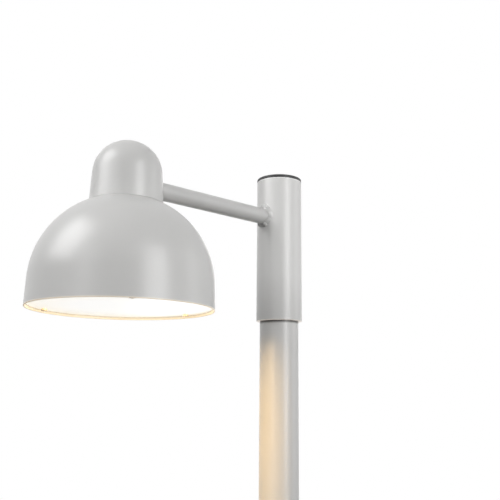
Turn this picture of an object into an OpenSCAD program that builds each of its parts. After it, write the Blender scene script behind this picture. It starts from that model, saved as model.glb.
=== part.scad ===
// Garden lamp post: a round steel post on a bolt-down base plate, with a sleeve
// clamped over its top and one straight arm that carries a domed downlight.
// Millimetres. The origin is the centre of the base plate's underside, +Z is up,
// and the arm points along -X.

/* [Base plate] */
// Side of the square base plate
base_side = 220; // [200:5:320]
// Thickness of the base plate
base_t = 12; // [6:1:20]
// Radius of the base plate's corners
base_corner_r = 12; // [4:1:25]
// Distance between the bolt holes along each side
bolt_spacing = 160; // [120:5:180]
// Diameter of the four bolt holes
bolt_hole_d = 14; // [9:1:20]
// Diameter of the cable hole in the middle of the base plate
base_hole_d = 40; // [20:1:50]
// Leg of the weld bead between the post and the base plate
base_weld_leg = 5; // [3:0.5:8]

/* [Post] */
// Outside diameter of the post
post_d = 60; // [54:1:76]
// Wall of the post
post_wall = 3; // [2:0.5:5]
// Length of the post above the base plate
post_l = 2110; // [600:10:3000]

/* [Sleeve] */
// Gap around the post inside the sleeve
sleeve_gap = 0.5; // [0.2:0.1:1]
// Wall of the sleeve
sleeve_wall = 5; // [3.5:0.5:7]
// Length of the sleeve
sleeve_l = 224.5; // [190:0.5:300]
// Height of the arm's axis above the sleeve's lower end
sleeve_arm_h = 163; // [100:1:180]
// Chamfer on the sleeve's outer edges
sleeve_chamfer = 0.6; // [0.2:0.1:1.5]
// Height of the lower set screw above the sleeve's lower end
set_screw_low = 30; // [15:1:50]
// Height of the upper set screw above the sleeve's lower end
set_screw_high = 110; // [80:1:130]
// Thread diameter of the set screws
set_screw_d = 8; // [5:1:10]
// Length of the set screws
set_screw_l = 8; // [7:1:14]

/* [End cap] */
// Thickness of the end cap's flange
plug_flange_t = 5; // [2:0.5:6]
// Rounding of the end cap's upper edge
plug_edge_r = 1.2; // [0.4:0.1:1.8]
// Depth of the end cap's spigot inside the sleeve
plug_depth = 14; // [8:1:30]
// Wall of the end cap's spigot
plug_wall = 2.5; // [1.5:0.5:4]
// Height that each grip rib stands out of the spigot
plug_rib = 0.2; // [0.1:0.05:0.25]

/* [Arm] */
// Outside diameter of the arm
arm_d = 25; // [18:1:30]
// Wall of the arm
arm_wall = 2; // [1.5:0.5:3]
// Distance from the post's axis to the shade's axis
arm_reach = 286; // [220:1:500]
// How far the arm's end reaches into the sleeve's bore
arm_in_sleeve = 6; // [2:1:10]
// Leg of the weld bead between the arm and the sleeve
arm_weld_leg = 4.6; // [3:0.2:6]
// Height of the ripples in that weld bead
arm_weld_ripple = 0.35; // [0:0.05:0.6]
// Number of ripples around that weld bead
arm_weld_ripples = 14; // [8:1:24]
// Wall of the cable bushes
bush_wall = 2; // [1.5:0.5:3]
// Thickness of the cable bushes' flanges
bush_flange_t = 1.5; // [1:0.5:3]
// Length of the bush's neck in the arm's end
bush_neck_l = 8; // [4:1:15]

/* [Shade] */
// Diameter of the shade at its rim
rim_d = 242; // [200:1:320]
// Wall of the shade
shade_wall = 2; // [1.5:0.25:3]
// Height of the shade's straight skirt
skirt_h = 36; // [30:1:60]
// Draft of the skirt, in degrees
skirt_draft = 2; // [0.5:0.25:4]
// Chamfer on both edges of the rim
rim_chamfer = 0.4; // [0.2:0.1:0.8]
// Thickness of the flange on top of the shade
flange_t = 2.5; // [2:0.5:4]
// Width of the ledge inside the skirt
ledge_w = 6.5; // [5:0.5:10]
// Thickness of the ledge inside the skirt
ledge_t = 3; // [2:0.5:5]
// Height of the screw bosses above the diffuser
boss_h = 18; // [14:1:24]
// Diameter of the screw bosses
boss_d = 9; // [8:0.5:12]
// Thickness of the rib behind each screw boss
boss_rib_t = 3; // [2:0.5:5]

/* [Cap] */
// Diameter of the cap where it sits on the shade
cap_d = 98; // [90:1:120]
// Wall of the cap
cap_wall = 3; // [2:0.5:4]
// Height of the cap's tapered side
cap_side_h = 43; // [38:1:70]
// Draft of the cap's side, in degrees
cap_draft = 3.2; // [0.5:0.1:5]
// Chamfer on the cap's lower edge
cap_chamfer = 0.5; // [0.2:0.1:1]
// Thickness of the ring at the cap's foot
cap_ring_t = 4; // [3:0.5:6]
// Width of the ring at the cap's foot
cap_ring_w = 14; // [13:0.5:16]
// Height of the arm's axis above the cap's foot
socket_h = 29; // [26:1:32]
// Wall of the arm's socket inside the cap
socket_wall = 4; // [3:0.5:6]
// Distance from the cap's axis to the stop in the arm's socket
socket_stop = 17; // [14:1:22]
// Thickness of the wall that ends the arm's socket
socket_end_t = 3; // [2:0.5:5]
// Diameter of the cable hole in the socket's end wall
socket_hole_d = 14; // [11:1:18]
// Thread diameter of the screw that clamps the arm
clamp_screw_d = 6; // [4:1:8]
// Length of the screw that clamps the arm
clamp_screw_l = 8; // [7:1:9]
// Distance from the cap's axis to the screw that clamps the arm
clamp_screw_x = 27; // [25:1:29]
// Width of the gasket under the cap
cap_gasket_w = 2.2; // [1.5:0.1:2.4]
// Thickness of the gasket under the cap
cap_gasket_t = 1.2; // [0.8:0.1:2]
// Distance from the gasket's outer edge to the cap's outer edge
cap_gasket_in = 2.5; // [2:0.1:2.8]
// Circle radius of the screws that hold the cap
cap_screw_r = 40.5; // [40:0.5:41]
// Thread diameter of the screws that hold the cap
cap_screw_d = 5; // [4:0.5:5]
// Length of the screws that hold the cap
cap_screw_l = 16; // [12:1:20]
// Diameter of the bosses that take those screws
cap_boss_d = 10; // [9:0.5:10.5]

/* [Diffuser] */
// Thickness of the diffuser
diffuser_t = 4; // [3:0.5:6]
// Height of the diffuser's underside above the rim
diffuser_up = 4; // [1:0.5:8]
// Gap between the diffuser's edge and the skirt
diffuser_gap = 1; // [0.5:0.1:2]
// Thickness of the gasket on the diffuser
diffuser_gasket_t = 2; // [1:0.5:3]
// Width of the gasket on the diffuser
diffuser_gasket_w = 2.5; // [2:0.25:3]
// Distance from the rim's outer edge to the diffuser's screws
diffuser_screw_in = 11; // [9.5:0.5:12]
// Turn of the three diffuser screws from the arm's line, in degrees
diffuser_screw_turn = 4; // [0:1:60]
// Thread diameter of the diffuser's screws
diffuser_screw_d = 4; // [3:0.5:5]
// Length of the diffuser's screws
diffuser_screw_l = 16; // [12:1:18]
// Head diameter of the diffuser's screws
diffuser_head_d = 7.5; // [6:0.5:8.5]
// Head height of the diffuser's screws
diffuser_head_h = 3; // [2:0.5:4]

/* [Lampholder] */
// Thickness of the plate that carries the lampholder
plate_t = 1.5; // [1:0.25:3]
// Diameter of the plate that carries the lampholder
plate_d = 92; // [90:1:94]
// Diameter of the lampholder
holder_d = 40; // [36:1:44]
// Height of the lampholder
holder_h = 46; // [42:1:52]
// Diameter of the lampholder's bore
holder_bore_d = 28; // [27.6:0.1:29]
// Thickness of the threaded shell in the lampholder's bore
shell_t = 0.5; // [0.3:0.05:0.5]
// Length of that threaded shell
shell_l = 24; // [16:1:26]
// Diameter of the threaded nipple
nipple_d = 10; // [9:0.5:12]
// Bore of the threaded nipple
nipple_bore_d = 7.5; // [6.5:0.25:8]
// Depth of the nipple in the lampholder
nipple_in = 8; // [5:1:10]
// Height of the nipple above its nut
nipple_over = 3; // [1:0.5:6]
// Height of the nipple's nut
nut_h = 3; // [2:0.5:5]
// Width across the flats of the nipple's nut
nut_af = 14; // [13:1:17]
// Diameter of the bulb's threaded cap
bulb_cap_d = 26.4; // [26:0.1:26.6]
// Length of the bulb's threaded cap
bulb_cap_l = 26; // [24:1:28]
// Diameter of the bulb
bulb_d = 45; // [40:1:60]
// Overall length of the bulb
bulb_l = 78; // [72:1:100]

/* [Wiring] */
// Length of the terminal block
block_l = 32; // [28:1:34]
// Width of the terminal block
block_w = 18; // [15:1:20]
// Height of the terminal block
block_h = 14; // [12:1:16]
// Distance from the cap's axis to the terminal block
block_x = 12; // [10:1:13]
// Outside diameter of the brass inserts in the terminal block
insert_d = 5; // [4:0.25:5.5]
// Bore of the brass inserts
insert_bore_d = 3; // [2:0.25:3.5]
// Diameter of the leads between the terminal block and the lampholder
lead_d = 2.2; // [1.5:0.1:2.6]
// Radius of the bend in those leads
lead_bend_r = 5; // [4:0.5:7]
// Thread diameter of the earth stud
earth_d = 4; // [3:0.5:5]
// Length of the earth stud above the plate
earth_l = 12; // [10:1:16]
// Distance from the cap's axis to the earth stud
earth_r = 28; // [27:0.5:29]
// Turn of the earth stud from the arm's line, in degrees
earth_turn = 50; // [45:1:55]

/* [Clearances] */
// Gap between a piece and the stop it rests against
seat_gap = 0.3; // [0.1:0.1:0.5]
// Gap on each side of a screw in its thread
thread_gap = 0.05; // [0.02:0.01:0.1]
// Gap on each side of a screw in a clearance hole
hole_gap = 0.25; // [0.1:0.05:0.4]
// Gap on each side of a piece pushed into a bore
push_gap = 0.2; // [0.1:0.05:0.3]
// Depth of a threaded hole past the screw's end
tap_end = 1; // [0.5:0.5:1.5]

/* [Hidden] */
$fn = 96;
eps = 0.01;
over = 2;

// Post, sleeve and arm
post_r = post_d / 2;
sleeve_bore_r = post_r + sleeve_gap;
sleeve_r = sleeve_bore_r + sleeve_wall;
arm_r = arm_d / 2;
arm_z = base_t + post_l + seat_gap + arm_r;
sleeve_z = arm_z - sleeve_arm_h;
sleeve_top = sleeve_z + sleeve_l;

// Shade: a skirt with draft that runs tangent into part of a sphere
rim_r = rim_d / 2;
dome_r = (rim_r - skirt_h * tan(skirt_draft)) / cos(skirt_draft);
dome_z = skirt_h - dome_r * sin(skirt_draft);
dome_in_r = dome_r - shade_wall;
cap_r = cap_d / 2;
seat_z = dome_z + sqrt(dome_r * dome_r - cap_r * cap_r);
plate_top = seat_z - flange_t;
plate_z = plate_top - plate_t;
rim_z = arm_z - socket_h - seat_z;
dome_steps = 32;

// Cap: a side with draft that runs tangent into half of a sphere
cap_top_r = (cap_r - cap_side_h * tan(cap_draft)) / cos(cap_draft);
cap_top_z = cap_side_h - cap_top_r * sin(cap_draft);
cap_steps = 28;
cap_ring_r = cap_r - cap_ring_w;
socket_bore_r = arm_r + push_gap;
socket_r = socket_bore_r + socket_wall;
clamp_boss_r = clamp_screw_d;
cap_head_d = 1.9 * cap_screw_d;
cap_head_h = 0.64 * cap_screw_d;
cap_screw_turns = [60, 180, 300];
cap_tap_h = cap_screw_l - plate_t - flange_t + tap_end;
cap_boss_roof = 2;

// Diffuser and what holds it
diffuser_top = diffuser_up + diffuser_t;
ledge_z = diffuser_top + diffuser_gasket_t;
skirt_in_r = rim_r - shade_wall - ledge_z * tan(skirt_draft);
diffuser_r = skirt_in_r - diffuser_gap;
diffuser_screw_r = rim_r - diffuser_screw_in;

// Lampholder, bulb and wiring, down from the mounting plate
bulb_r = bulb_d / 2;
contact_h = 3;
contact_t = 0.8;
contact_r = 9;
contact_pin_r = 3;
holder_bore_h = bulb_cap_l + contact_h;
shell_in = 2;
bulb_top = plate_z - holder_h + holder_bore_h - contact_h - seat_gap;
bulb_center = bulb_top - bulb_l + bulb_r;
block_screw_d = 3;
block_poles = 3;
block_floor = 4;
pole_w = block_l / block_poles;
pole_gap = 3.6;
insert_up = block_h * 0.65;
insert_in = 1;
lead_z = plate_top + insert_up;
lead_gap = 1;

function arc_points(z, r, from, to, steps) = [
    for (i = [0:steps])
        let (a = from + (to - from) * i / steps)
        [r * cos(a), z + r * sin(a)]
];
function reversed(list) = [for (i = [len(list) - 1:-1:0]) list[i]];
function angle_at(z, r, height) = asin((height - z) / r);

module tube(r, bore_r, h) {
    difference() {
        cylinder(r = r, h = h);
        translate([0, 0, -over]) cylinder(r = bore_r, h = h + 2 * over);
    }
}

module along_arm() {
    translate([0, 0, arm_z]) rotate([0, -90, 0]) children();
}

module at_head() {
    translate([-arm_reach, 0, rim_z]) children();
}

module at_cap() {
    at_head() translate([0, 0, seat_z]) children();
}

module at_diffuser_screws() {
    for (i = [0:2])
        rotate([0, 0, diffuser_screw_turn + 120 * i]) translate([diffuser_screw_r, 0, 0]) children();
}

module at_cap_screws() {
    for (turn = cap_screw_turns)
        rotate([0, 0, turn]) translate([cap_screw_r, 0, 0]) children();
}

// A screw with its thread pointing up and the underside of its head at z = 0
module socket_screw(d, l, head_d, head_h) {
    key_af = d * 0.75;
    key_in = head_h * 0.55;
    difference() {
        union() {
            translate([0, 0, -head_h / 4]) cylinder(r = d / 2, h = l + head_h / 4);
            translate([0, 0, -head_h]) cylinder(r = head_d / 2, h = head_h);
        }
        translate([0, 0, -head_h - over]) hex(key_af, over + key_in);
    }
}

// A headless screw with its point at z = 0 and its key socket at the far end
module set_screw(d, l) {
    point = d * 0.15;
    key_af = d * 0.5;
    difference() {
        union() {
            cylinder(r1 = d / 2 - point, r2 = d / 2, h = point);
            translate([0, 0, point]) cylinder(r = d / 2, h = l - point);
        }
        translate([0, 0, l / 2]) hex(key_af, l);
    }
}

module hex(af, h) {
    cylinder(r = af / 2 / cos(30), h = h, $fn = 6);
}

module rounded_square(side, r) {
    square([side, side - 2 * r], center = true);
    square([side - 2 * r, side], center = true);
    for (x = [-1, 1], y = [-1, 1])
        translate([x * (side / 2 - r), y * (side / 2 - r)]) circle(r = r);
}

module base_plate() {
    color("silver")
    difference() {
        linear_extrude(base_t) rounded_square(base_side, base_corner_r);
        translate([0, 0, -over]) cylinder(r = base_hole_d / 2, h = base_t + 2 * over);
        for (x = [-1, 1], y = [-1, 1])
            translate([x * bolt_spacing / 2, y * bolt_spacing / 2, -over])
                cylinder(r = bolt_hole_d / 2, h = base_t + 2 * over);
    }
}

module base_weld() {
    root = post_r + thread_gap;
    bulge = base_weld_leg * 0.6;
    color("silver")
    translate([0, 0, base_t])
    rotate_extrude()
    polygon([
        [root, 0],
        [root + base_weld_leg, 0],
        [root + bulge, bulge],
        [root, base_weld_leg]
    ]);
}

module post_tube() {
    color("silver")
    translate([0, 0, base_t]) tube(post_r, post_r - post_wall, post_l);
}

module sleeve() {
    color("silver")
    difference() {
        translate([0, 0, sleeve_z])
        rotate_extrude()
        polygon([
            [sleeve_bore_r, 0],
            [sleeve_r - sleeve_chamfer, 0],
            [sleeve_r, sleeve_chamfer],
            [sleeve_r, sleeve_l],
            [sleeve_bore_r, sleeve_l]
        ]);
        along_arm() cylinder(r = arm_r + push_gap, h = sleeve_r + over);
        for (h = [set_screw_low, set_screw_high])
            translate([0, 0, sleeve_z + h]) rotate([0, 90, 0])
                cylinder(r = set_screw_d / 2 + thread_gap, h = sleeve_r + over);
    }
}

module sleeve_end_cap() {
    spigot_r = sleeve_bore_r - seat_gap;
    rib_h = plug_rib * 4;
    edge = sleeve_r - plug_edge_r;
    color("black")
    translate([0, 0, sleeve_top])
    rotate_extrude()
    polygon(concat(
        [[0, 0], [spigot_r - plug_wall, 0], [spigot_r - plug_wall, -plug_depth], [spigot_r, -plug_depth]],
        [for (z = [-plug_depth * 0.7, -plug_depth * 0.35]) each
            [[spigot_r, z - rib_h], [spigot_r + plug_rib, z], [spigot_r, z + rib_h]]],
        [[spigot_r, 0], [sleeve_r, 0]],
        [for (a = [0:15:90])
            [edge + plug_edge_r * cos(a), plug_flange_t - plug_edge_r * (1 - sin(a))]],
        [[0, plug_flange_t]]
    ));
}

module set_screws() {
    color("dimgray")
    for (h = [set_screw_low, set_screw_high])
        translate([post_r + thread_gap, 0, sleeve_z + h]) rotate([0, 90, 0])
            set_screw(set_screw_d, set_screw_l);
}

module arm_tube() {
    near = sleeve_bore_r - arm_in_sleeve;
    far = arm_reach - socket_stop - seat_gap;
    color("silver")
    along_arm() translate([0, 0, near]) tube(arm_r, arm_r - arm_wall, far - near);
}

// One ring of the weld bead: turn is the angle around the arm
function bead_ring(turn) =
    let (
        leg = arm_weld_leg + arm_weld_ripple * cos(arm_weld_ripples * turn),
        root = arm_r + thread_gap,
        steps = [[0, 0], [0, 1], [0.42, 0.66], [0.78, 0.34], [1, 0], [0.5, 0]]
    )
    [for (s = steps)
        let (
            r = root + s[0] * leg,
            y = r * cos(turn),
            x = sqrt(sleeve_r * sleeve_r - y * y) + thread_gap + s[1] * leg
        )
        [-x, y, arm_z + r * sin(turn)]];

module arm_weld() {
    rings = arm_weld_ripples * 8;
    sides = 6;
    points = [for (i = [0:rings - 1]) each bead_ring(360 * i / rings)];
    faces = [for (i = [0:rings - 1], j = [0:sides - 1])
        let (
            a = i * sides + j,
            b = i * sides + (j + 1) % sides,
            c = ((i + 1) % rings) * sides + (j + 1) % sides,
            d = ((i + 1) % rings) * sides + j
        )
        each [[a, b, c], [a, c, d]]];
    color("silver") polyhedron(points, faces);
}

// A cable bush: its flange starts at z = 0 and its neck follows
module bush(neck_r, flange_r, neck_l) {
    difference() {
        union() {
            cylinder(r = flange_r, h = bush_flange_t);
            cylinder(r = neck_r, h = bush_flange_t + neck_l);
        }
        translate([0, 0, -over]) cylinder(r = neck_r - bush_wall, h = bush_flange_t + neck_l + 2 * over);
    }
}

module arm_bush() {
    color("dimgray")
    along_arm() translate([0, 0, sleeve_bore_r - arm_in_sleeve - bush_flange_t])
        bush(arm_r - arm_wall - push_gap, arm_r - arm_wall / 2, bush_neck_l);
}

module shade_outside() {
    rotate_extrude()
    polygon(concat(
        [[0, 0], [rim_r - rim_chamfer, 0], [rim_r - rim_chamfer * tan(skirt_draft), rim_chamfer]],
        arc_points(dome_z, dome_r, skirt_draft, angle_at(dome_z, dome_r, seat_z), dome_steps),
        [[0, seat_z]]
    ));
}

module shade_inside() {
    skirt_r = rim_r - shade_wall;
    ledge_top = ledge_z + ledge_t;
    rotate_extrude()
    polygon(concat(
        [[0, -over], [skirt_r + rim_chamfer, -over], [skirt_r + rim_chamfer, 0], [skirt_r, rim_chamfer]],
        [[skirt_in_r, ledge_z], [skirt_in_r - ledge_w, ledge_z], [skirt_in_r - ledge_w, ledge_top]],
        [[skirt_in_r - ledge_t * tan(skirt_draft), ledge_top]],
        arc_points(dome_z, dome_in_r, skirt_draft, angle_at(dome_z, dome_in_r, plate_top), dome_steps),
        [[0, plate_top]]
    ));
}

module shade_bosses() {
    rib_z = ledge_z + ledge_t / 2;
    rib_top = diffuser_top + boss_h - boss_rib_t;
    at_diffuser_screws() {
        translate([0, 0, diffuser_top]) cylinder(r = boss_d / 2, h = boss_h);
        translate([0, -boss_rib_t / 2, rib_z])
            cube([rim_r - diffuser_screw_r, boss_rib_t, rib_top - rib_z]);
    }
}

module shade() {
    color("silver")
    at_head()
    difference() {
        shade_outside();
        difference() {
            shade_inside();
            shade_bosses();
        }
        translate([0, 0, plate_top - over]) cylinder(r = cap_ring_r, h = flange_t + 2 * over);
        translate([0, 0, plate_top - over]) at_cap_screws()
            cylinder(r = cap_screw_d / 2 + hole_gap, h = flange_t + 2 * over);
        translate([0, 0, diffuser_top - over]) at_diffuser_screws()
            cylinder(r = diffuser_screw_d / 2 + thread_gap, h = diffuser_screw_l - diffuser_t + tap_end + over);
    }
}

module cap_outside() {
    rotate_extrude()
    polygon(concat(
        [[0, 0], [cap_r - cap_chamfer, 0], [cap_r - cap_chamfer * tan(cap_draft), cap_chamfer]],
        arc_points(cap_top_z, cap_top_r, cap_draft, 90, cap_steps)
    ));
}

module cap_inside() {
    rotate_extrude()
    polygon(concat(
        [[0, cap_ring_t], [cap_r - cap_wall - cap_ring_t * tan(cap_draft), cap_ring_t]],
        arc_points(cap_top_z, cap_top_r - cap_wall, cap_draft, 90, cap_steps)
    ));
}

module cap_fittings() {
    end = socket_stop - socket_end_t;
    translate([end, 0, socket_h]) rotate([0, 90, 0]) cylinder(r = socket_r, h = cap_r);
    translate([clamp_screw_x, 0, socket_h - arm_r - clamp_screw_l])
        cylinder(r = clamp_boss_r, h = clamp_screw_l);
    at_cap_screws() cylinder(r = cap_boss_d / 2, h = cap_tap_h + cap_boss_roof);
}

module cap_housing() {
    groove_r = cap_r - cap_gasket_in;
    color("silver")
    at_cap()
    difference() {
        cap_outside();
        difference() {
            cap_inside();
            cap_fittings();
        }
        translate([0, 0, -over]) cylinder(r = cap_ring_r, h = cap_ring_t + over + eps);
        translate([socket_stop, 0, socket_h]) rotate([0, 90, 0])
            cylinder(r = socket_bore_r, h = cap_r);
        translate([0, 0, socket_h]) rotate([0, 90, 0])
            cylinder(r = socket_hole_d / 2, h = socket_stop + over);
        translate([clamp_screw_x, 0, 0])
            cylinder(r = clamp_screw_d / 2 + thread_gap, h = socket_h);
        translate([0, 0, -over]) at_cap_screws()
            cylinder(r = cap_screw_d / 2 + thread_gap, h = cap_tap_h + over);
        translate([0, 0, -over])
            tube(groove_r, groove_r - cap_gasket_w, cap_gasket_t + over);
    }
}

module cap_gasket() {
    groove_r = cap_r - cap_gasket_in;
    color("black")
    at_cap() tube(groove_r - thread_gap, groove_r - cap_gasket_w + thread_gap, cap_gasket_t);
}

module cap_screws() {
    color("gainsboro")
    at_cap() translate([0, 0, -plate_t - flange_t]) at_cap_screws()
        socket_screw(cap_screw_d, cap_screw_l, cap_head_d, cap_head_h);
}

module clamp_screw() {
    color("dimgray")
    at_cap() translate([clamp_screw_x, 0, socket_h - arm_r - thread_gap]) mirror([0, 0, 1])
        set_screw(clamp_screw_d, clamp_screw_l);
}

module cap_bush() {
    neck_r = socket_hole_d / 2 - push_gap;
    color("dimgray")
    at_cap() translate([socket_stop - socket_end_t - bush_flange_t, 0, socket_h]) rotate([0, 90, 0])
        bush(neck_r, neck_r + bush_wall, socket_end_t);
}

module mounting_plate() {
    color("lightgray")
    at_head() translate([0, 0, plate_z])
    difference() {
        cylinder(r = plate_d / 2, h = plate_t);
        translate([0, 0, -over]) cylinder(r = nipple_d / 2 + hole_gap, h = plate_t + 2 * over);
        translate([0, 0, -over]) at_cap_screws()
            cylinder(r = cap_screw_d / 2 + hole_gap, h = plate_t + 2 * over);
        translate([0, 0, -over]) at_earth_stud() cylinder(r = earth_d / 2 + thread_gap, h = plate_t + 2 * over);
        translate([0, 0, -over]) at_block_screws()
            cylinder(r = block_screw_d / 2 + thread_gap, h = plate_t + 2 * over);
    }
}

module at_earth_stud() {
    rotate([0, 0, earth_turn]) translate([earth_r, 0, 0]) children();
}

module at_block_screws() {
    for (side = [-1, 1])
        translate([-block_x - block_w / 2, side * pole_w / 2, 0]) children();
}

module at_poles() {
    for (i = [0:block_poles - 1])
        translate([-block_x - block_w, (i - (block_poles - 1) / 2) * pole_w, 0]) children();
}

module terminal_block() {
    color("white")
    at_head() translate([0, 0, plate_top])
    difference() {
        translate([-block_x - block_w, -block_l / 2, 0]) cube([block_w, block_l, block_h]);
        at_block_screws() {
            translate([-block_w, -pole_gap / 2, block_floor]) cube([2 * block_w, pole_gap, block_h]);
            translate([0, 0, -over]) cylinder(r = block_screw_d / 2 + hole_gap, h = block_h);
        }
        at_poles() {
            translate([-over, 0, insert_up]) rotate([0, 90, 0])
                cylinder(r = insert_d / 2 + thread_gap, h = block_w + 2 * over);
            for (x = [0.25, 0.75])
                translate([block_w * x, 0, insert_up]) cylinder(r = insert_bore_d / 2, h = block_h);
        }
    }
}

module terminal_inserts() {
    color("goldenrod")
    at_head() translate([0, 0, plate_top]) at_poles()
        translate([insert_in, 0, insert_up]) rotate([0, 90, 0])
            tube(insert_d / 2, insert_bore_d / 2, block_w - 2 * insert_in);
}

module block_screws() {
    past_plate = 1;
    color("gainsboro")
    at_head() translate([0, 0, plate_top + block_floor]) at_block_screws() mirror([0, 0, 1])
        socket_screw(block_screw_d, block_floor + plate_t + past_plate, 1.1 * block_screw_d, 0.6 * block_screw_d);
}

module earth_stud() {
    head_t = 1.2;
    color("goldenrod")
    at_head() translate([0, 0, plate_z]) at_earth_stud() {
        translate([0, 0, -head_t]) cylinder(r = earth_d, h = head_t);
        translate([0, 0, -eps]) cylinder(r = earth_d / 2, h = plate_t + earth_l);
    }
}

module earth_nut() {
    color("goldenrod")
    at_head() translate([0, 0, plate_top]) at_earth_stud()
    difference() {
        hex(earth_d * 1.75, earth_d * 0.8);
        translate([0, 0, -over]) cylinder(r = earth_d / 2 + thread_gap, h = earth_d + 2 * over);
    }
}

module holder_nipple() {
    color("goldenrod")
    at_head() translate([0, 0, plate_z - nipple_in])
        tube(nipple_d / 2, nipple_bore_d / 2, nipple_in + plate_t + nut_h + nipple_over);
}

module holder_nut() {
    color("goldenrod")
    at_head() translate([0, 0, plate_top])
    difference() {
        hex(nut_af, nut_h);
        translate([0, 0, -over]) cylinder(r = nipple_d / 2 + thread_gap, h = nut_h + 2 * over);
    }
}

module lampholder() {
    r = holder_d / 2;
    step = 1.5;
    waist = holder_h * 0.65;
    ceiling = holder_bore_h - holder_h;
    thread_r = nipple_d / 2 + thread_gap;
    wire_r = nipple_bore_d / 2 - thread_gap;
    color("ghostwhite")
    at_head() translate([0, 0, plate_z])
    rotate_extrude()
    polygon([
        [thread_r, 0],
        [r - step, 0],
        [r, -step],
        [r, step - waist],
        [r - step, -waist],
        [r - step, -holder_h],
        [holder_bore_d / 2, -holder_h],
        [holder_bore_d / 2, ceiling],
        [wire_r, ceiling],
        [wire_r, -nipple_in],
        [thread_r, -nipple_in]
    ]);
}

module holder_shell() {
    shell_r = holder_bore_d / 2 - thread_gap;
    color("goldenrod")
    at_head() translate([0, 0, plate_z - holder_h + shell_in]) tube(shell_r, shell_r - shell_t, shell_l);
}

module holder_contact() {
    top = plate_z - holder_h + holder_bore_h;
    color("goldenrod")
    at_head() translate([0, 0, top - contact_h]) {
        translate([0, 0, contact_h - contact_t]) cylinder(r = contact_r, h = contact_t);
        cylinder(r = contact_pin_r, h = contact_h - contact_t + eps);
    }
}

// A bent lead in a plane of constant y: points are [x, z] places along it
module lead(points, r) {
    sides = 10;
    last = len(points) - 1;
    rings = [for (i = [0:last])
        let (
            step = points[min(i + 1, last)] - points[max(i - 1, 0)],
            dir = step / norm(step)
        )
        each [for (j = [0:sides - 1])
            let (a = 360 * j / sides)
            [points[i][0] - dir[1] * r * cos(a), r * sin(a), points[i][1] + dir[0] * r * cos(a)]]];
    walls = [for (i = [0:last - 1], j = [0:sides - 1])
        let (
            a = i * sides + j,
            b = i * sides + (j + 1) % sides
        )
        each [[a, b, b + sides], [a, b + sides, a + sides]]];
    ends = [
        [for (j = [sides - 1:-1:0]) j],
        [for (j = [0:sides - 1]) last * sides + j]
    ];
    polyhedron(rings, concat(walls, ends));
}

module holder_leads() {
    bottom = plate_z - holder_h + holder_bore_h + seat_gap;
    bend = [for (a = [90:-15:0])
        [-lead_bend_r + lead_bend_r * cos(a), lead_z - lead_bend_r + lead_bend_r * sin(a)]];
    route = concat([[-block_x + seat_gap, lead_z]], bend, [[0, bottom]]);
    color("lightgray")
    at_head()
    for (side = [-1, 1])
        translate([0, side * (lead_d + lead_gap) / 2, 0]) lead(route, lead_d / 2);
}

module lamp_bulb() {
    cap_low = bulb_top - bulb_cap_l;
    neck_low = bulb_center + bulb_r * 0.45;
    neck_low_r = bulb_r * 0.88;
    neck_high_r = bulb_cap_d / 2 - 1;
    tip_h = 2;
    tip_r = 4;
    color("white")
    at_head() {
        translate([0, 0, bulb_top - tip_h]) cylinder(r = tip_r, h = tip_h);
        translate([0, 0, cap_low]) cylinder(r = bulb_cap_d / 2, h = bulb_cap_l - tip_h + eps);
        translate([0, 0, neck_low])
            cylinder(r1 = neck_low_r, r2 = neck_high_r, h = cap_low - neck_low + eps);
        translate([0, 0, bulb_center]) sphere(r = bulb_r);
    }
}

module diffuser() {
    color("white")
    at_head() translate([0, 0, diffuser_up])
    difference() {
        cylinder(r = diffuser_r, h = diffuser_t);
        translate([0, 0, -over]) at_diffuser_screws()
            cylinder(r = diffuser_screw_d / 2 + hole_gap, h = diffuser_t + 2 * over);
    }
}

module diffuser_gasket() {
    color("black")
    at_head() translate([0, 0, diffuser_top])
        tube(diffuser_r, diffuser_r - diffuser_gasket_w, diffuser_gasket_t);
}

module diffuser_screws() {
    color("gainsboro")
    at_head() translate([0, 0, diffuser_up]) at_diffuser_screws()
        socket_screw(diffuser_screw_d, diffuser_screw_l, diffuser_head_d, diffuser_head_h);
}

base_plate();
base_weld();
post_tube();
sleeve();
sleeve_end_cap();
set_screws();
arm_tube();
arm_weld();
arm_bush();
shade();
cap_housing();
cap_gasket();
cap_screws();
clamp_screw();
cap_bush();
mounting_plate();
terminal_block();
terminal_inserts();
block_screws();
earth_stud();
earth_nut();
holder_nipple();
holder_nut();
lampholder();
holder_shell();
holder_contact();
holder_leads();
lamp_bulb();
diffuser();
diffuser_gasket();
diffuser_screws();
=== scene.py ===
"""Looks of the garden lamp post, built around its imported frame.

Metres. The origin is the centre of the base plate's underside, +Z is up and the arm points along -X.
"""

import random
from collections import defaultdict
from math import cos, pi, radians, sin, sqrt, tau

import bmesh
import bpy
import numpy as np
from mathutils import Matrix, Vector


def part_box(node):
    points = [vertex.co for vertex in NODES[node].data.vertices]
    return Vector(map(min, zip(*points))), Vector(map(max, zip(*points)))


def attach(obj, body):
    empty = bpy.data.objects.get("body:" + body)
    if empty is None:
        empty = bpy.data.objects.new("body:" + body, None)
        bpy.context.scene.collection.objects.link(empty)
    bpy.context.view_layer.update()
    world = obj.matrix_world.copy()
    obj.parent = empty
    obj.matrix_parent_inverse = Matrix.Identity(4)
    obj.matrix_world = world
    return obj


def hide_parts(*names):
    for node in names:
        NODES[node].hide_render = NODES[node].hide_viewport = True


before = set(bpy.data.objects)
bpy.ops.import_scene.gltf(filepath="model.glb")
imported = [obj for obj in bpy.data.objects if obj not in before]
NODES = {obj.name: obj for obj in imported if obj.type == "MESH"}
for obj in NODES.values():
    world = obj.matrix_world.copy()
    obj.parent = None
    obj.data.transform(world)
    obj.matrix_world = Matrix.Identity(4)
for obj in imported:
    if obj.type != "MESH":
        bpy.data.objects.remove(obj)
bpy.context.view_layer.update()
MM = 0.001

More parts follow.
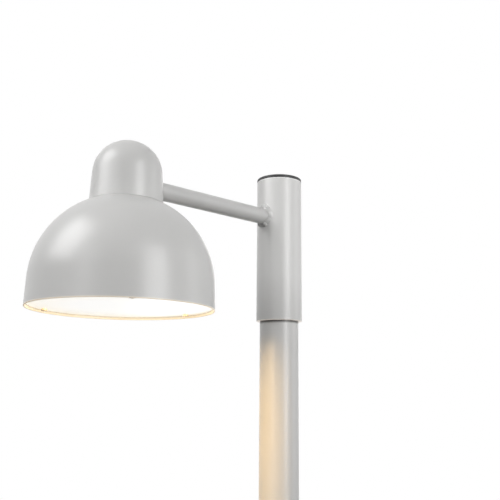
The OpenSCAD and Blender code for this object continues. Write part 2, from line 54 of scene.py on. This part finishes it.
# Places and sizes that the frame gives
SLEEVE_LOW, SLEEVE_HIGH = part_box("sleeve")
ARM_LOW, ARM_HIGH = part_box("arm_tube")
POST_LOW, POST_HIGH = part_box("post_tube")
SHADE_LOW, SHADE_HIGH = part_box("shade")
DIFFUSER_LOW, DIFFUSER_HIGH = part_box("diffuser")
SLEEVE_R = SLEEVE_HIGH.x
POST_R = POST_HIGH.x
ARM_R = (ARM_HIGH.y - ARM_LOW.y) / 2
ARM_Z = (ARM_HIGH.z + ARM_LOW.z) / 2
HEAD_X = (SHADE_LOW.x + SHADE_HIGH.x) / 2
RIM_R = (SHADE_HIGH.x - SHADE_LOW.x) / 2
RIM_Z = SHADE_LOW.z
# RIM_SPLIT_R bounds the painted glow on the inside of the rim
RIM_SPLIT_R = RIM_R - 1.2 * MM  # inside the rim's wall, between its outer and its inner face
DIFFUSER_R = (DIFFUSER_HIGH.x - DIFFUSER_LOW.x) / 2
WELD_GAP = 0.05 * MM  # keeps the scene's beads clear of what they join

# The photograph's camera, solved from the measured edges
LENS_MM = 50.565
SENSOR_MM = 36.0
CAMERA_PLACE = Vector((-0.77135, -0.77701, 1.85591))
CAMERA_YAW = radians(42.366)
CAMERA_PITCH = radians(11.867)
CAMERA_ROLL = radians(0.560)


def make_camera():
    """The camera turns from +Y towards +X by its yaw, looks up by its pitch, and leans by its roll."""
    camera = bpy.data.objects.new("camera", bpy.data.cameras.new("camera"))
    bpy.context.scene.collection.objects.link(camera)
    camera.data.sensor_width = SENSOR_MM
    camera.data.lens = LENS_MM
    camera.data.clip_start = 0.05
    camera.data.clip_end = 200
    turn = (
        Matrix.Rotation(-CAMERA_YAW, 4, "Z")
        @ Matrix.Rotation(pi / 2 + CAMERA_PITCH, 4, "X")
        @ Matrix.Rotation(CAMERA_ROLL, 4, "Z")
    )
    camera.matrix_world = Matrix.Translation(CAMERA_PLACE) @ turn
    bpy.context.scene.camera = camera


class Look:
    """A material under construction: its node tree, its shader, and short calls for the nodes that it uses."""

    def __init__(self, name, color, roughness, **sockets):
        self.material = bpy.data.materials.new(name)
        self.material.use_nodes = True
        self.tree = self.material.node_tree
        self.shader = self.tree.nodes["Principled BSDF"]
        self.color = color
        self.roughness = roughness
        self.set("Base Color", (*color, 1))
        self.set("Roughness", roughness)
        for socket, value in sockets.items():
            self.set(socket.replace("_", " "), value)
        self.place = self.add("ShaderNodeTexCoord").outputs["Object"]
        self.height = None

    def add(self, kind, **values):
        """A new node: capital names are its sockets, and the others its own settings."""
        node = self.tree.nodes.new(kind)
        for name, value in values.items():
            if name[0].isupper():
                self.put(value, node.inputs[name.replace("_", " ")])
            else:
                setattr(node, name, value)
        return node

    def put(self, value, socket):
        if isinstance(value, bpy.types.NodeSocket):
            self.tree.links.new(value, socket)
        else:
            socket.default_value = value

    def set(self, socket, value):
        self.put(value, self.shader.inputs[socket])

    def stretched(self, x, y, z):
        """The object's coordinates, stretched for grain that runs one way."""
        return self.add("ShaderNodeMapping", Vector=self.place, Scale=(x, y, z)).outputs["Vector"]

    def noise(self, size, detail=2.0, place=None):
        """Soft noise from 0 to 1 whose features are about this size, in metres."""
        node = self.add("ShaderNodeTexNoise", Scale=1 / size, Detail=detail)
        self.put(place or self.place, node.inputs["Vector"])
        return node.outputs["Fac"]

    def between(self, value, low, high, start=0.3, end=0.7):
        """Maps start to low and end to high."""
        node = self.add("ShaderNodeMapRange", Value=value)
        node.inputs["From Min"].default_value = start
        node.inputs["From Max"].default_value = end
        node.inputs["To Min"].default_value = low
        node.inputs["To Max"].default_value = high
        return node.outputs["Result"]

    def math(self, operation, a, b=0.0):
        node = self.add("ShaderNodeMath", operation=operation)
        self.put(a, node.inputs[0])
        self.put(b, node.inputs[1])
        return node.outputs["Value"]

    def mixed(self, factor, a, b):
        """Mixes two colours, or a colour and a colour socket."""
        node = self.add("ShaderNodeMix", data_type="RGBA", Factor=factor)
        for value, socket in ((a, node.inputs[6]), (b, node.inputs[7])):
            self.put(value if isinstance(value, bpy.types.NodeSocket) else (*value, 1), socket)
        return node.outputs[2]

    def axis(self, name):
        return self.add("ShaderNodeSeparateXYZ", Vector=self.place).outputs[name]

    def above(self, height):
        """1 above a height in metres, and 0 below it."""
        return self.math("GREATER_THAN", self.axis("Z"), height)

    def relief(self, value, depth):
        """Adds a bump of this depth, in metres, under the ones already there."""
        node = self.add("ShaderNodeBump", Height=value, Distance=depth, Strength=1.0)
        if self.height is not None:
            self.put(self.height, node.inputs["Normal"])
        self.height = node.outputs["Normal"]
        self.set("Normal", self.height)

    def vary(self, size, by, rough_by=0.0, detail=3.0):
        """Lets the colour, and the roughness too, drift a little either way over patches of this size."""
        cloud = self.noise(size, detail)
        dark = tuple(c * (1 - by) for c in self.color)
        pale = tuple(min(c * (1 + by), 1) for c in self.color)
        self.set("Base Color", self.mixed(self.between(cloud, 0, 1), dark, pale))
        if rough_by:
            self.set("Roughness", self.between(cloud, self.roughness - rough_by, self.roughness + rough_by))

    def threads(self, pitch, depth, mask):
        """A bump of upright thread turns, where the mask is 1."""
        wave = self.math("SINE", self.math("MULTIPLY", self.axis("Z"), tau / pitch))
        self.relief(self.math("MULTIPLY", wave, mask), depth)


def silver_paint(name="silver_paint", painted_bands=(), glow=None, inner=0.0):
    """Satin silver-grey powder coat: fine orange peel, and metal flakes too small to see one by one.

    Each band is painted light or shade, given as (height, other height, colour): the paint turns to that colour
    between the heights.
    The glow is painted light, given as (height, other height, colour, strength): the paint gives off light of its own,
    fading out between them.
    Inner is how much more painted light the inside of the shade's rim gives off, below the diffuser.
    """
    look = Look(name, (0.577, 0.574, 0.565), 0.35, Specular_IOR_Level=0.75)
    flakes = look.noise(0.5 * MM, 1.0)
    cloud = look.noise(90 * MM, 3.0)
    dark = tuple(c * 0.955 for c in look.color)
    pale = tuple(c * 1.045 for c in look.color)
    tone = look.math("ADD", look.math("MULTIPLY", flakes, 0.6), look.math("MULTIPLY", cloud, 0.4))
    color = look.mixed(look.between(tone, 0, 1), dark, pale)
    # Painted light and shade: each band turns the paint lighter or darker between two heights
    for start, end, tone in painted_bands:
        color = look.mixed(look.between(look.axis("Z"), 0, 1, start, end), color, tone)
    look.set("Base Color", color)
    # Painted glow: the paint gives off warm light of its own, standing in for the diffuser's light
    if glow:
        start, end, tone, strength = glow
        look.set("Emission Color", (*tone, 1))
        painted_glow_strength = look.between(look.axis("Z"), strength, 0, start, end)
        if inner:
            flat = look.add("ShaderNodeVectorMath", operation="MULTIPLY_ADD")
            look.put(look.place, flat.inputs[0])
            flat.inputs[1].default_value = (1, 1, 0)
            flat.inputs[2].default_value = (-HEAD_X, 0, 0)
            out = look.add("ShaderNodeVectorMath", operation="LENGTH")
            look.put(flat.outputs["Vector"], out.inputs[0])
            inside = look.math("LESS_THAN", out.outputs["Value"], RIM_SPLIT_R)
            below = look.math("LESS_THAN", look.axis("Z"), DIFFUSER_LOW.z)
            painted_glow_strength = look.math("ADD", painted_glow_strength, look.math("MULTIPLY", look.math("MULTIPLY", inside, below), inner))
        look.set("Emission Strength", painted_glow_strength)
    look.set("Roughness", look.between(cloud, 0.32, 0.38))
    look.relief(look.noise(2.6 * MM, 2.0), 0.010 * MM)
    look.relief(look.noise(0.45 * MM, 1.0), 0.003 * MM)
    return look.material


def black_plastic():
    """Moulded black plastic with a fine spark-eroded grain."""
    look = Look("black_plastic", (0.028, 0.028, 0.029), 0.48, Specular_IOR_Level=0.4)
    look.vary(12 * MM, 0.15, 0.05)
    look.relief(look.noise(0.35 * MM, 2.0), 0.012 * MM)
    return look.material


def rubber():
    look = Look("rubber", (0.018, 0.018, 0.018), 0.72)
    look.vary(6 * MM, 0.2, 0.06)
    look.relief(look.noise(0.5 * MM, 2.0), 0.015 * MM)
    return look.material


def opal_plastic():
    """Opal diffuser, lit from behind: white over the bulb and a little creamier towards its edge."""
    look = Look("opal_plastic", (0.86, 0.85, 0.82), 0.32, Emission_Strength=0.68)
    middle = look.add("ShaderNodeVectorMath", operation="DISTANCE")
    look.put(look.place, middle.inputs[0])
    middle.inputs[1].default_value = (HEAD_X, 0, DIFFUSER_LOW.z)
    out = look.math("DIVIDE", middle.outputs["Value"], DIFFUSER_R)
    fade = look.between(out, 0, 1, 0.5, 1.0)
    look.set("Emission Color", look.mixed(fade, (1.0, 0.998, 0.985), (1.0, 0.95, 0.84)))
    look.vary(60 * MM, 0.01)
    look.relief(look.noise(1.2 * MM, 2.0), 0.006 * MM)
    return look.material


def metal(name, color, roughness, size=4 * MM, grain=(1, 1, 1), depth=0.004 * MM):
    """Bare metal with drifting tone and a fine grain."""
    look = Look(name, color, roughness, Metallic=1.0)
    look.vary(size, 0.08, 0.07)
    look.relief(look.noise(0.6 * MM, 2.0, look.stretched(*grain)), depth)
    return look.material


def screw_steel():
    """Stainless screws: a golden tone as painted warm light from the diffuser, painted shade on the heads' faces, and
    thread turns above the diffuser.
    """
    look = Look("stainless", (0.66, 0.55, 0.40), 0.30, Metallic=1.0)
    # Painted shade: the heads' faces, below the diffuser, darker
    face = look.math("SUBTRACT", 1.0, look.above(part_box("diffuser_screws")[0].z + 0.35 * MM))
    cloud = look.noise(3 * MM)
    # Painted warm light: the stainless steel tinted golden
    painted_warm_tone = look.mixed(cloud, (0.60, 0.49, 0.35), (0.72, 0.61, 0.45))
    look.set("Base Color", look.mixed(face, painted_warm_tone, (0.24, 0.20, 0.18)))
    look.set("Roughness", look.between(cloud, 0.24, 0.38))
    look.relief(look.noise(0.6 * MM, 2.0), 0.004 * MM)
    look.threads(0.7 * MM, 0.15 * MM, look.above(DIFFUSER_HIGH.z))
    return look.material


def porcelain():
    """Glazed porcelain with a faint waviness."""
    look = Look("porcelain", (0.80, 0.78, 0.73), 0.14, Coat_Weight=0.5, Coat_Roughness=0.05)
    look.vary(15 * MM, 0.03, 0.03)
    look.relief(look.noise(7 * MM, 1.0), 0.02 * MM)
    return look.material


def white_plastic():
    look = Look("white_plastic", (0.78, 0.77, 0.73), 0.38)
    look.vary(9 * MM, 0.03, 0.04)
    look.relief(look.noise(0.4 * MM, 2.0), 0.006 * MM)
    return look.material


def wire_sleeving():
    """Silicone-coated glass sleeving with its braid showing through."""
    look = Look("wire_sleeving", (0.66, 0.64, 0.58), 0.45)
    look.vary(3 * MM, 0.05, 0.05)
    braid = look.add("ShaderNodeTexVoronoi", Vector=look.place, Scale=1 / (0.45 * MM))
    look.relief(braid.outputs["Distance"], 0.05 * MM)
    return look.material


def bulb_skin():
    """Opal bulb with a threaded metal cap above its neck."""
    cap_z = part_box("lampholder")[0].z - 1.5 * MM
    look = Look("bulb_skin", (0.88, 0.87, 0.83), 0.3)
    cap = look.above(cap_z)
    cloud = look.noise(8 * MM, 2.0)
    brass = look.mixed(look.between(cloud, 0, 1), (0.62, 0.60, 0.56), (0.72, 0.70, 0.66))
    look.set("Base Color", look.mixed(cap, look.color, brass))
    look.set("Metallic", cap)
    look.set("Roughness", look.between(cloud, 0.24, 0.34))
    look.threads(3.6 * MM, 0.5 * MM, cap)
    return look.material


def smooth_normals(piece, sharp=radians(32)):
    """Shades a carried-over node smoothly, also where two of its faces join, and keeps the edges that are sharp."""
    mesh = piece.data
    loops = len(mesh.loops)
    places = np.empty(len(mesh.vertices) * 3)
    mesh.vertices.foreach_get("co", places)
    places = places.reshape(-1, 3)
    spots = np.round(places / 1e-7).astype(np.int64)
    _, spot_of = np.unique(spots, axis=0, return_inverse=True)
    corner_vertex = np.empty(loops, np.int64)
    mesh.loops.foreach_get("vertex_index", corner_vertex)
    corner_spot = spot_of.reshape(-1)[corner_vertex]
    normals = np.empty(len(mesh.polygons) * 3)
    mesh.polygons.foreach_get("normal", normals)
    normals = normals.reshape(-1, 3)
    corners = places[corner_vertex].reshape(-1, 3, 3)
    weights = np.empty((len(mesh.polygons), 3))
    for i in range(3):
        a = corners[:, (i + 1) % 3] - corners[:, i]
        b = corners[:, (i + 2) % 3] - corners[:, i]
        size = np.linalg.norm(a, axis=1) * np.linalg.norm(b, axis=1) + 1e-30
        weights[:, i] = np.arccos(np.clip((a * b).sum(1) / size, -1, 1))
    around = defaultdict(list)
    for corner, spot in enumerate(corner_spot):
        around[spot].append(corner)
    limit = cos(sharp)
    result = np.empty((loops, 3))
    weights = weights.reshape(-1)
    for group in around.values():
        group = np.array(group)
        own = normals[group // 3]
        joined = (own @ own.T > limit) * weights[group]
        result[group] = joined @ own
    result /= np.linalg.norm(result, axis=1, keepdims=True) + 1e-30
    mesh.polygons.foreach_set("use_smooth", np.ones(len(mesh.polygons), bool))
    mesh.normals_split_custom_set(result)


def dress(name, material):
    """Gives a carried-over node its material and smooth shading."""
    piece = NODES[name]
    for slot in piece.material_slots:
        slot.material = material
    smooth_normals(piece)


def new_piece(name, mesh, material, slot, *replaced):
    """A finished mesh as a piece of the object, in the place of the nodes that it replaces."""
    mesh.materials.append(material)
    piece = bpy.data.objects.new(name, mesh)
    bpy.context.scene.collection.objects.link(piece)
    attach(piece, "root")
    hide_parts(*replaced)
    return piece


def ring_mesh(name, rings):
    """A closed ring of cross-sections, each a closed loop of points."""
    mesh = bpy.data.meshes.new(name)
    count, sides = len(rings), len(rings[0])
    points = [p for ring in rings for p in ring]
    faces = [
        (i * sides + j, i * sides + (j + 1) % sides,
         (i + 1) % count * sides + (j + 1) % sides, (i + 1) % count * sides + j)
        for i in range(count)
        for j in range(sides)
    ]
    mesh.from_pydata(points, [], faces)
    shape = bmesh.new()
    shape.from_mesh(mesh)
    bmesh.ops.recalc_face_normals(shape, faces=shape.faces)
    shape.to_mesh(mesh)
    shape.free()
    for face in mesh.polygons:
        face.use_smooth = True
    return mesh


def bead_lumps(count, seed):
    """Where each lump of a weld bead ends, as a share of the whole turn, and how much each one swells."""
    draw = random.Random(seed)
    widths = [draw.uniform(0.7, 1.3) for _ in range(count)]
    total = sum(widths)
    ends, swells, reached = [], [], 0.0
    for width in widths:
        reached += width
        ends.append(reached / total)
        swells.append(draw.uniform(-0.24, 0.24))
    return ends, swells


def bead_section(turn, leg, lumps, place):
    """One section of a fillet weld: place(out, along) gives the point that far out on the plate and along the tube."""
    ends, swells = lumps
    steps = 16
    points = [place(0.0, 0.0)]
    for step in range(steps + 1):
        v = step / steps
        lag = 0.010 * (1 - (2 * v - 1) ** 2)
        share = (turn / tau + lag) % 1.0
        index = next(i for i, end in enumerate(ends) if share <= end)
        start = ends[index - 1] if index else 0.0
        within = (share - start) / (ends[index] - start)
        ripple = sin(pi * within) ** 0.8
        swell = 1.0 + ((swells[index] + 0.26) * ripple - 0.13) * sin(pi * v)
        reach = leg * swell * (1.0 + (0.06 + 0.5 * swells[index]) * ripple)
        points.append(place(reach * sin(v * pi / 2) ** 1.5, reach * cos(v * pi / 2) ** 1.5))
    return points


def arm_bead(material):
    """The weld bead between the arm and the sleeve, laid in short overlapping lumps, fullest above and below."""
    root = ARM_R + WELD_GAP
    lumps = bead_lumps(11, 33)
    rings = []
    count = 320
    for i in range(count):
        turn = tau * i / count
        leg = (4.0 + 1.6 * sin(turn) ** 2 + 0.5 * sin(turn)) * MM

        def place(out, along, turn=turn):
            radius = root + out
            y = radius * cos(turn)
            return (-sqrt(SLEEVE_R ** 2 - y ** 2) - WELD_GAP - along, y, ARM_Z + radius * sin(turn))

        rings.append(bead_section(turn, leg, lumps, place))
    return new_piece("arm_weld_bead", ring_mesh("arm_weld_bead", rings), material, "silver_paint", "arm_weld")


def base_bead(material):
    """The weld bead between the post and the base plate."""
    leg, root, foot = 4.4 * MM, POST_R + WELD_GAP, POST_LOW.z
    lumps = bead_lumps(34, 3)
    rings = []
    count = 560
    for i in range(count):
        turn = tau * i / count

        def place(out, along, turn=turn):
            return ((root + out) * cos(turn), (root + out) * sin(turn), foot + along)

        rings.append(bead_section(turn, leg, lumps, place))
    return new_piece("base_weld_bead", ring_mesh("base_weld_bead", rings), material, "silver_paint", "base_weld")


def dress_all():
    paint = silver_paint()
    black, gum, brass = black_plastic(), rubber(), metal("brass", (0.78, 0.56, 0.26), 0.32)
    dark = metal("dark_steel", (0.07, 0.07, 0.075), 0.42)
    zinc = metal("zinc", (0.52, 0.53, 0.54), 0.36)
    for name in ("base_plate", "arm_tube", "cap_housing"):
        dress(name, paint)
    seam, top = SLEEVE_LOW.z, SLEEVE_HIGH.z
    # Painted shadow: a dark band round the post just under the sleeve's lower edge
    dress("post_tube", silver_paint("post_paint_painted_shadow", [(seam - 4.6 * MM, seam - 1.6 * MM, (0.09, 0.085, 0.08))]))
    # Painted light: the sleeve's upper part paler, a painted highlight just under the end cap, and a warm painted glow
    # along its lower edge
    dress("sleeve", silver_paint("sleeve_paint_painted_light", [
        (seam + 10 * MM, seam + 70 * MM, (0.68, 0.677, 0.666)), (top - 1.6 * MM, top - 0.7 * MM, (0.86, 0.86, 0.85))],
        (seam + 0.5 * MM, seam + 1.3 * MM, (1.0, 0.87, 0.74), 0.26)))
    # Painted glow: the shade's lowest few millimetres give off warm light, and the rim's inside below the diffuser
    # more, as if lit by the diffuser
    rim_glow = (RIM_Z + 0.4 * MM, RIM_Z + 2.4 * MM, (1.0, 0.73, 0.40), 0.26)
    dress("shade", silver_paint("lampshade_paint_painted_glow", glow=rim_glow, inner=0.16))
    dress("sleeve_end_cap", black)
    for name in ("arm_bush", "cap_bush", "cap_gasket", "diffuser_gasket"):
        dress(name, gum)
    for name in ("terminal_inserts", "earth_stud", "earth_nut", "holder_nipple", "holder_nut",
                 "holder_shell", "holder_contact"):
        dress(name, brass)
    for name in ("set_screws", "clamp_screw"):
        dress(name, dark)
    for name in ("cap_screws", "block_screws"):
        dress(name, zinc)
    dress("diffuser_screws", screw_steel())
    dress("mounting_plate", metal("sheet_metal", (0.72, 0.72, 0.72), 0.34, 12 * MM, (1, 12, 12), 0.006 * MM))
    dress("lampholder", porcelain())
    dress("terminal_block", white_plastic())
    dress("holder_leads", wire_sleeving())
    dress("lamp_bulb", bulb_skin())
    dress("diffuser", opal_plastic())
    arm_bead(paint)
    base_bead(paint)


def make_floor():
    """A pale floor that keeps the shadow near the object and turns plain white further out."""
    mesh = bpy.data.meshes.new("floor")
    shape = bmesh.new()
    bmesh.ops.create_circle(shape, cap_ends=True, segments=96, radius=9.0)
    shape.to_mesh(mesh)
    shape.free()
    floor = bpy.data.objects.new("floor", mesh)
    bpy.context.scene.collection.objects.link(floor)
    look = Look("floor", (0.90, 0.90, 0.89), 0.9)
    tree = look.tree
    rays = look.add("ShaderNodeLightPath")
    look.set("Base Color", look.mixed(rays.outputs["Is Diffuse Ray"], look.color, (0.30, 0.30, 0.295)))
    reach = look.add("ShaderNodeVectorMath", operation="LENGTH")
    look.put(look.place, reach.inputs[0])
    far = look.add("ShaderNodeMapRange", Value=reach.outputs["Value"], From_Min=0.2, From_Max=2.0,
                   interpolation_type="SMOOTHSTEP").outputs["Result"]
    shown = look.math("MULTIPLY", far, rays.outputs["Is Camera Ray"])
    white = look.add("ShaderNodeEmission", Color=(1, 1, 1, 1), Strength=1.0)
    blend = tree.nodes.new("ShaderNodeMixShader")
    tree.links.new(shown, blend.inputs[0])
    tree.links.new(look.shader.outputs[0], blend.inputs[1])
    tree.links.new(white.outputs[0], blend.inputs[2])
    tree.links.new(blend.outputs[0], tree.nodes["Material Output"].inputs["Surface"])
    mesh.materials.append(look.material)


def make_world(above, below):
    """White where it is seen, also in gloss. Elsewhere a soft light, with one strength above and another below."""
    world = bpy.data.worlds.new("studio")
    bpy.context.scene.world = world
    world.use_nodes = True
    tree = world.node_tree
    rays = tree.nodes.new("ShaderNodeLightPath")
    seen = rays.outputs["Is Camera Ray"]
    for name in ("Is Glossy Ray", "Is Transmission Ray"):
        either = tree.nodes.new("ShaderNodeMath")
        either.operation = "MAXIMUM"
        tree.links.new(seen, either.inputs[0])
        tree.links.new(rays.outputs[name], either.inputs[1])
        seen = either.outputs["Value"]
    way = tree.nodes.new("ShaderNodeSeparateXYZ")
    tree.links.new(tree.nodes.new("ShaderNodeTexCoord").outputs["Generated"], way.inputs[0])
    soft = tree.nodes.new("ShaderNodeMapRange")
    soft.inputs["From Min"].default_value = -0.3
    soft.inputs["From Max"].default_value = 0.3
    soft.inputs["To Min"].default_value = below
    soft.inputs["To Max"].default_value = above
    tree.links.new(way.outputs["Z"], soft.inputs["Value"])
    strength = tree.nodes.new("ShaderNodeMapRange")
    strength.inputs["To Max"].default_value = 1.0
    tree.links.new(soft.outputs["Result"], strength.inputs["To Min"])
    tree.links.new(seen, strength.inputs["Value"])
    tree.links.new(strength.outputs["Result"], tree.nodes["Background"].inputs["Strength"])
    tree.nodes["Background"].inputs["Color"].default_value = (1, 1, 1, 1)


def softbox(name, bearing, height, distance, width, tall, power, aim_z=ARM_Z - 0.1, spread=180):
    """An area light on a bearing in degrees from the photograph's camera, 0 at the camera and 90 on its right."""
    aim = Vector((HEAD_X / 2, 0, aim_z))
    back = Matrix.Rotation(radians(bearing), 3, "Z") @ Vector((-sin(CAMERA_YAW), -cos(CAMERA_YAW), 0))
    place = aim + back * distance
    place.z = height
    data = bpy.data.lights.new(name, "AREA")
    data.shape = "RECTANGLE"
    data.size, data.size_y = width, tall
    data.energy = power
    data.spread = radians(spread)
    lamp = bpy.data.objects.new(name, data)
    bpy.context.scene.collection.objects.link(lamp)
    lamp.location = place
    lamp.rotation_euler = (aim - place).to_track_quat("-Z", "Y").to_euler()


def make_lights():
    # Name, bearing, height, distance, width, tallness and power
    for lamp in (
        ("light_right", 45, 2.35, 1.7, 0.8, 1.7, 20.2),
        ("light_near_left", -34, 2.2, 1.7, 0.5, 1.6, 4.4),
        ("light_high_left", -68, 3.05, 1.35, 1.0, 1.1, 17.8),
        ("light_side", 98, 2.2, 1.7, 0.6, 1.6, 4.4),
        ("light_back", 176, 2.0, 2.2, 1.2, 2.2, 9.0),
    ):
        softbox(*lamp)
    # Narrow lamps for the lower post, whose light hardly reaches the photograph's frame
    for name, bearing, power in (
        ("light_low_right", 40, 1.6),
        ("light_low_left", -60, 1.4),
        ("light_low_back", 176, 1.5),
    ):
        softbox(name, bearing, 0.75, 2.2, 0.5, 0.9, power, aim_z=0.62, spread=40)


def make_glow(name, radius, power, color, spread):
    """Warm light that the lit diffuser throws down, seen by nothing itself."""
    data = bpy.data.lights.new(name, "AREA")
    data.shape = "DISK"
    data.size = 2 * radius
    data.energy = power
    data.color = color
    data.spread = radians(spread)
    lamp = bpy.data.objects.new(name, data)
    bpy.context.scene.collection.objects.link(lamp)
    lamp.location = (HEAD_X, 0, DIFFUSER_LOW.z - 0.05 * MM)
    lamp.visible_camera = False


make_camera()
dress_all()
make_floor()
make_world(0.11, 0.06)
make_lights()
make_glow("glow", 0.8 * DIFFUSER_R, 2.1, (1.0, 0.67, 0.30), 170)
make_glow("rim_glow", DIFFUSER_R, 0.22, (1.0, 0.72, 0.33), 180)
bpy.context.scene.view_settings.view_transform = "Standard"
